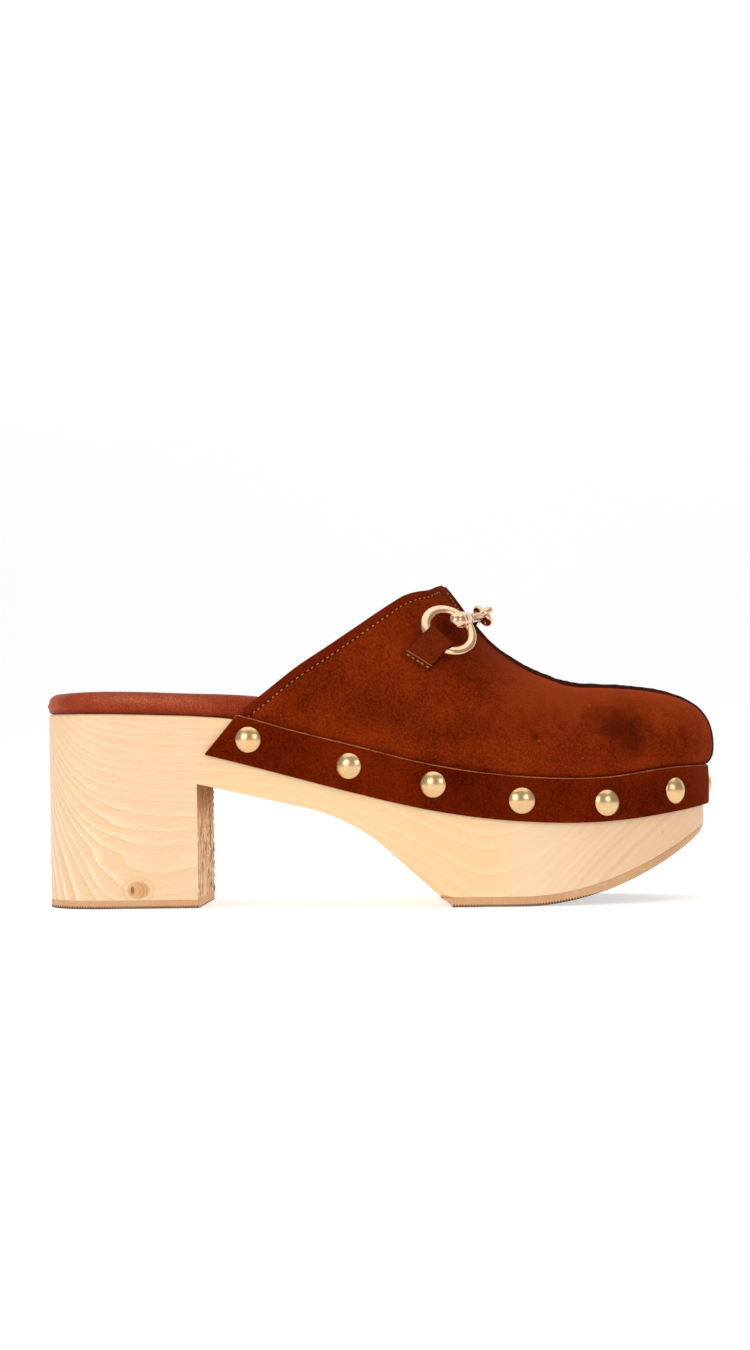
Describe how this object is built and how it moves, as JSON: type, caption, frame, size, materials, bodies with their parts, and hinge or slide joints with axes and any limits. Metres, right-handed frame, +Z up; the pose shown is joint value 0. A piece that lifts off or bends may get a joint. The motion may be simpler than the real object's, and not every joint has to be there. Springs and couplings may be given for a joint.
{
  "type": "clog",
  "caption": "Heeled mule clog with a wooden platform sole, a suede upper held by a nailed band, a padded leather insole and a jointed metal bit across the instep.",
  "frame": {"origin": "on the floor under the middle of the part's box", "axes": "+X forward from heel to toe, +Y to the inner (medial) side of the foot, +Z up"},
  "size_m": [0.2548, 0.0993, 0.1203],
  "materials": {
    "pine": "pale pine with visible growth rings, thin satin lacquer; the heel's front is left rough from the saw",
    "tan_rubber": "matt tan rubber with finely ribbed edges",
    "insole_leather": "red-brown smooth leather with fine pores, soft gloss, padded",
    "brown_suede": "rust-brown suede with uneven nap, tan stitching and dark raw edges",
    "band_suede": "darker rust-brown suede strip with a paler raw upper edge",
    "pale_gold": "polished pale gold plating"
  },
  "bodies": {
    "root": {"wooden_sole": "pine", "forefoot_tread": "tan_rubber", "heel_lift": "tan_rubber", "insole": "insole_leather", "upper": "brown_suede", "band": "band_suede", "stud_01": "pale_gold", "stud_02": "pale_gold", "stud_03": "pale_gold", "stud_04": "pale_gold", "stud_05": "pale_gold", "stud_06": "pale_gold", "stud_07": "pale_gold", "stud_08": "pale_gold", "stud_09": "pale_gold", "stud_10": "pale_gold", "stud_11": "pale_gold", "stud_12": "pale_gold", "stud_13": "pale_gold", "ring_lateral": "pale_gold", "ring_tab_lateral": "brown_suede", "bit_bar_lateral": "pale_gold", "ring_medial": "pale_gold", "ring_tab_medial": "brown_suede", "bit_bar_medial": "pale_gold"}
  },
  "joints": []
}
